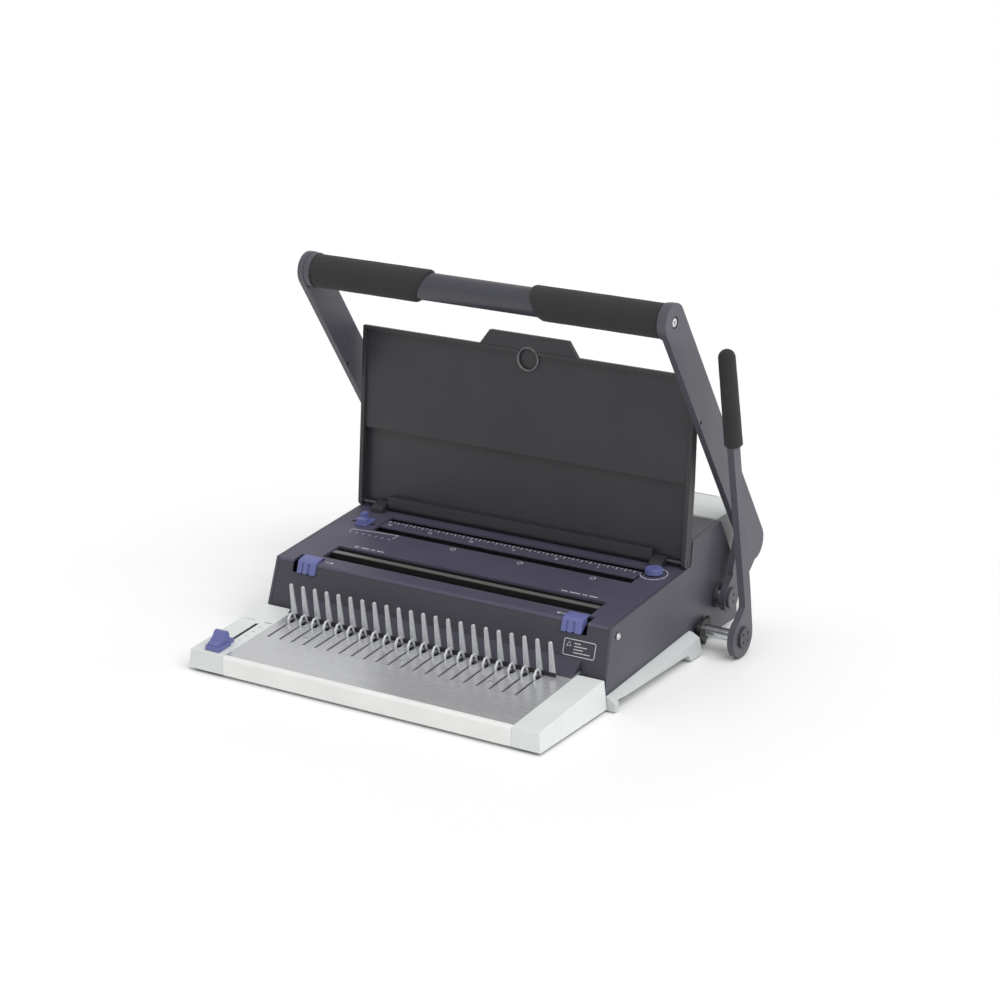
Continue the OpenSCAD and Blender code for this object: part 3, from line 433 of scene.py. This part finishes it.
def make_deck_print():
    """Rings, scales and arrows; rows of dashes stand where the machine has small words."""
    bm = bmesh.new()

    ring_y, ring_r = 122.5, 2.6
    for x in (-41.5, 38.0, 121.7):
        stroke(bm, arc(x, ring_y, ring_r, 0, 360), FINE, deck)

    left, right, foot, shoulder, peak = -165, -111, 118, 122, 127.5
    stroke(bm, [(left, foot), (left, shoulder), (right, peak)], LINE, deck)
    stroke(bm, [(right, peak), (right - 1.5, foot)], LINE, deck)
    for k in range(7):
        x = left + 2 + 8 * k
        stroke(bm, [(x, foot - 4.5), (x, foot - 1)], HAIR, deck)

    dial, dial_start, dial_end = (171, 157, 13.5), 200, 500
    stroke(bm, arc(*dial, dial_start, dial_end, 40), LINE, deck)
    for angle in range(dial_start, 341, 28):
        stroke(bm, arc(*dial, angle, angle + 1, 1), 3.0, deck)

    arrow_y = 40
    for latch_x, side in ((-151, 1), (150, -1)):
        tail, neck, tip = (latch_x + side * reach for reach in (10, 17, 20))
        stroke(bm, [(tail, arrow_y), (tip, arrow_y)], LINE, deck)
        stroke(bm, [(neck, arrow_y + 2), (tip, arrow_y), (neck, arrow_y - 2)], LINE, deck)

    gap = 2.5
    for x, y, dashes in ((-128, 85.5, (9, 5, 8)), (108, 85, (7, 12, 5, 9))):
        for length in dashes:
            stroke(bm, [(x, y), (x + length, y)], DASH, deck)
            x += length + gap
    stroke(bm, arc(-134, 85.5, 1.8, 0, 360, 16), FINE, deck)
    make_piece("deck_print", bm, "chassis", "ink")


def make_front_label():
    """Plain frame with a triangle and four lines, on the right of the front panel."""
    bm = bmesh.new()
    x, z = (147, 181), (45.6, 60.4)
    stroke(bm, rounded(x, z, 1.6), FINE, front)

    left, low, base, height = x[0] + 3, z[1] - 6.4, 5, 4.4
    stroke(bm, [(left, low), (left + base, low), (left + base / 2, low + height), (left, low)],
           HAIR, front)

    start, first_drop, drop = 11, 3.2, 2.8
    for k, end in enumerate((18, 25, 21, 29)):
        level = z[1] - first_drop - drop * k
        stroke(bm, [(x[0] + start, level), (x[0] + end, level)], LINE, front)
    make_piece("front_label", bm, "chassis", "ink")


def make_ruler_print():
    """Ticks every 5 mm and a number every 50 mm, counted in centimetres from the right."""
    bm = bmesh.new()
    start, top, short, long = -140, 157.6, 2.5, 4.5
    for k in range(59):
        x = start + 5 * k
        stroke(bm, [(x, top), (x, top - (short if k % 2 else long))], 0.9, ruler)
    for k in range(6):
        number(bm, str(5 * (6 - k)), start + 50 * k + 1.5, 147.5, 1.5, ruler)
    make_piece("ruler_print", bm, "chassis", "ink")


def make_tray_print():
    """Zero line and size marks beside the slider's slot."""
    bm = bmesh.new()
    slot_side, zero_y = -169.5, -25
    for x in ((-194, -182), (slot_side, -160.5)):
        stroke(bm, [(x[0], zero_y), (x[1], zero_y)], HAIR, tray)
    for k in range(5):
        y = -70 + 11 * k
        stroke(bm, [(slot_side, y), (-166 + 0.9 * k, y)], HAIR, tray)
    make_piece("tray_print", bm, "chassis", "tray_ink")


# ---- foam grips ------------------------------------------------------------------

ROUND = 84
SKIN_WAVE = 0.09
SLANT_REACH = 30.0


def foam_grip(node, body, start, end, profile, slant=0.0, bore=0.0):
    """Foam turned about the line from start to end, with a softly uneven skin.

    profile lists (distance from start, radius); slant tips the plane of the far end, and
    bore is the radius of the hole through a sleeve."""
    axis = (end - start).normalized()
    length = (end - start).length
    side = Vector((0, 1, 0)) if abs(axis.x) > 0.5 else Vector((1, 0, 0))
    up = axis.cross(side)
    if up.z < 0:
        up.negate()
    bm = bmesh.new()
    rings = []
    for s, r in profile:
        tilt = slant * min(1.0, max(0.0, (s - length + SLANT_REACH) / SLANT_REACH))
        ring = []
        for k in range(ROUND):
            t = 2 * math.pi * k / ROUND
            wave = SKIN_WAVE * math.sin(3 * t + s * 0.11) * math.sin(2 * t - s * 0.07)
            radius = r + (wave - SKIN_WAVE if r > bore + 1 else 0)
            place = (start + axis * (s + tilt * r * math.sin(t))
                     + side * radius * math.cos(t) + up * radius * math.sin(t))
            ring.append(bm.verts.new(place * MM))
        rings.append(ring)
    for one, two in zip(rings, rings[1:]):
        skin(bm, one, two)
    if bore:
        skin(bm, rings[-1], rings[0])
    else:
        bm.faces.new(rings[0])
        bm.faces.new(rings[-1])
    piece = make_piece(node + "_foam", bm, body, "grip_foam", smooth=True)
    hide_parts(node)


def sleeve_profile(length, r, bore):
    """Square end against the collar, straight body, rounded free end."""
    collar_end = [(0.2, bore), (0.2, r - 1.4), (0.6, r - 0.4), (1.6, r)]
    straight = [(length * k / 24, r) for k in range(1, 23)]
    free_end = [(length - 2.6, r), (length - 1.2, r - 0.5), (length - 0.3, r - 1.5),
                (length - 0.05, r - 2.6), (length - 0.05, bore)]
    return collar_end + straight + free_end


def lever_profile(length, foot_r, tip_r):
    """Small rounding at the foot, a slight taper, and a half ball at the tip."""
    neck = length - tip_r
    foot = [(0.05, foot_r - 2.2), (0.3, foot_r - 1.0), (1.3, foot_r)]
    taper = [(neck * k / 16, foot_r + (tip_r - foot_r) * k / 16) for k in range(1, 17)]
    ball = [(neck + tip_r * math.sin(a), tip_r * math.cos(a))
            for a in (math.radians(9 * k) for k in range(1, 10))]
    return foot + taper + ball


def make_grips():
    tube_y, tube_z, tube_r, grip_r, slant = 114.4, 357.0, 14.05, 17.0, 0.4
    for node, collar_x, free_x in (("handle_grip_left", -194.5, -65.5),
                                   ("handle_grip_right", 201.5, 64.5)):
        profile = sleeve_profile(abs(collar_x - free_x), grip_r, tube_r)
        foam_grip(node, "handle", Vector((collar_x, tube_y, tube_z)),
                  Vector((free_x, tube_y, tube_z)), profile, slant, bore=tube_r)

    foot, tip = Vector((242.5, 180, 226)), Vector((242.5, 159.2, 325.5))
    foam_grip("comb_lever_grip", "opener", foot, tip,
              lever_profile((tip - foot).length, foot_r=9.2, tip_r=8.5))


# ---- small dark and bright pieces ------------------------------------------------

def make_cover_ring():
    """Grommet let into the hanging hole near the top of the sheet support."""
    centre_x, centre_up = 4.5, 184
    section = [(12.4, 4.4), (12.4, 1.2), (12.0, 0.7), (11.3, 0.7), (10.9, 1.2), (10.9, 4.4)]
    steps = 64
    bm = bmesh.new()
    loops = []
    for k in range(steps):
        a = 2 * math.pi * k / steps
        loops.append([bm.verts.new(cover(centre_x + r * math.cos(a),
                                         centre_up + r * math.sin(a), behind))
                      for r, behind in section])
    for k in range(steps):
        skin(bm, loops[k], loops[(k + 1) % steps])
    make_piece("cover_ring", bm, "cover", "ring_grey", smooth=True)


def make_slot_shade():
    """Painted shade: dark strips that close the tray's slot on both sides of the slider's
    stem, so the slot reads as a shaded opening.
    """
    bm = bmesh.new()
    for x in ((-177.2, -175.7), (-175.3, -173.8)):
        slab(bm, x, (-92.6, -30.4), (-1.8, -0.5), tray)
    make_piece("slider_slot_shade", bm, "chassis", "painted_shade_black")


def make_bar_highlight():
    """Painted highlight: a lighter strip along the top of the dark closing bar, where light
    catches its top edge.
    """
    low, high = (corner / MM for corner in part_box("closing_bar"))
    bm = bmesh.new()
    slab(bm, (low.x + 0.4, high.x - 0.4), (low.y + 0.5, low.y + 7.5),
         (high.z - 0.3, high.z + 0.15), lambda x, y, z: Vector((x, y, z)) * MM)
    make_piece("closing_bar_highlight", bm, "ram", "bar_painted_highlight")


def make_finger_foot_shadow():
    """Painted shadow: a black strip along the feet of the fingers, where shade falls in front
    of their bases.
    """
    low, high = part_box("finger_strip")
    bm = bmesh.new()
    slab(bm, (low.x / MM, high.x / MM), (-3.1, -2.1), (-0.3, 4.2), tray)
    make_piece("finger_foot_shadow", bm, "chassis", "painted_shade_black")


make_deck_print()
make_front_label()
make_ruler_print()
make_tray_print()
make_grips()
make_cover_ring()
make_slot_shade()
make_bar_highlight()
make_finger_foot_shadow()


# ---- camera, floor and light -----------------------------------------------------

def make_camera():
    """The photograph's viewpoint: place in metres, angles in degrees, lens in mm."""
    place = (1.3093, -1.9549, 0.9554)
    azimuth, elevation, roll = 31.93, 18.26, 0.12
    az, el = math.radians(azimuth), math.radians(elevation)
    back = Vector((math.sin(az) * math.cos(el), -math.cos(az) * math.cos(el), math.sin(el)))
    right = Vector((math.cos(az), math.sin(az), 0.0))
    up = back.cross(right)
    turn = (Matrix((right, up, back)).transposed()
            @ Matrix.Rotation(-math.radians(roll), 3, "Z"))
    data = bpy.data.cameras.new("camera")
    data.sensor_width = 36.0
    data.lens = 93.47
    data.clip_start = 0.1
    data.clip_end = 30.0
    camera = bpy.data.objects.new("camera", data)
    camera.matrix_world = Matrix.Translation(place) @ turn.to_4x4()
    bpy.context.scene.collection.objects.link(camera)
    bpy.context.scene.camera = camera


def make_floor():
    """Plain pale floor, wide enough to fill the view."""
    r = 14.0
    mesh = bpy.data.meshes.new("floor")
    mesh.from_pydata([(-r, -r, 0), (r, -r, 0), (r, r, 0), (-r, r, 0)], [], [(0, 1, 2, 3)])
    surface = Surface("floor", (0.92, 0.92, 0.92), rough=0.6)
    surface.tint(surface.noise(3, 3), 0.98, 1.0)
    mesh.materials.append(surface.mat)
    floor = bpy.data.objects.new("floor", mesh)
    bpy.context.scene.collection.objects.link(floor)


def make_light():
    """An even white surround and one very wide sun from the front right."""
    world = bpy.data.worlds.new("studio")
    world.use_nodes = True
    background = world.node_tree.nodes["Background"]
    background.inputs["Color"].default_value = (1, 1, 1, 1)
    background.inputs["Strength"].default_value = 0.72
    bpy.context.scene.world = world
    bpy.context.scene.view_settings.view_transform = "Standard"

    towards = Vector((1.0, -0.35, 1.35))
    sun = bpy.data.lights.new("key", "SUN")
    sun.energy = 1.75
    sun.angle = math.radians(55)
    lamp = bpy.data.objects.new("key", sun)
    lamp.location = towards * 2
    lamp.rotation_euler = towards.to_track_quat("Z", "Y").to_euler()
    bpy.context.scene.collection.objects.link(lamp)


make_camera()
make_floor()
make_light()
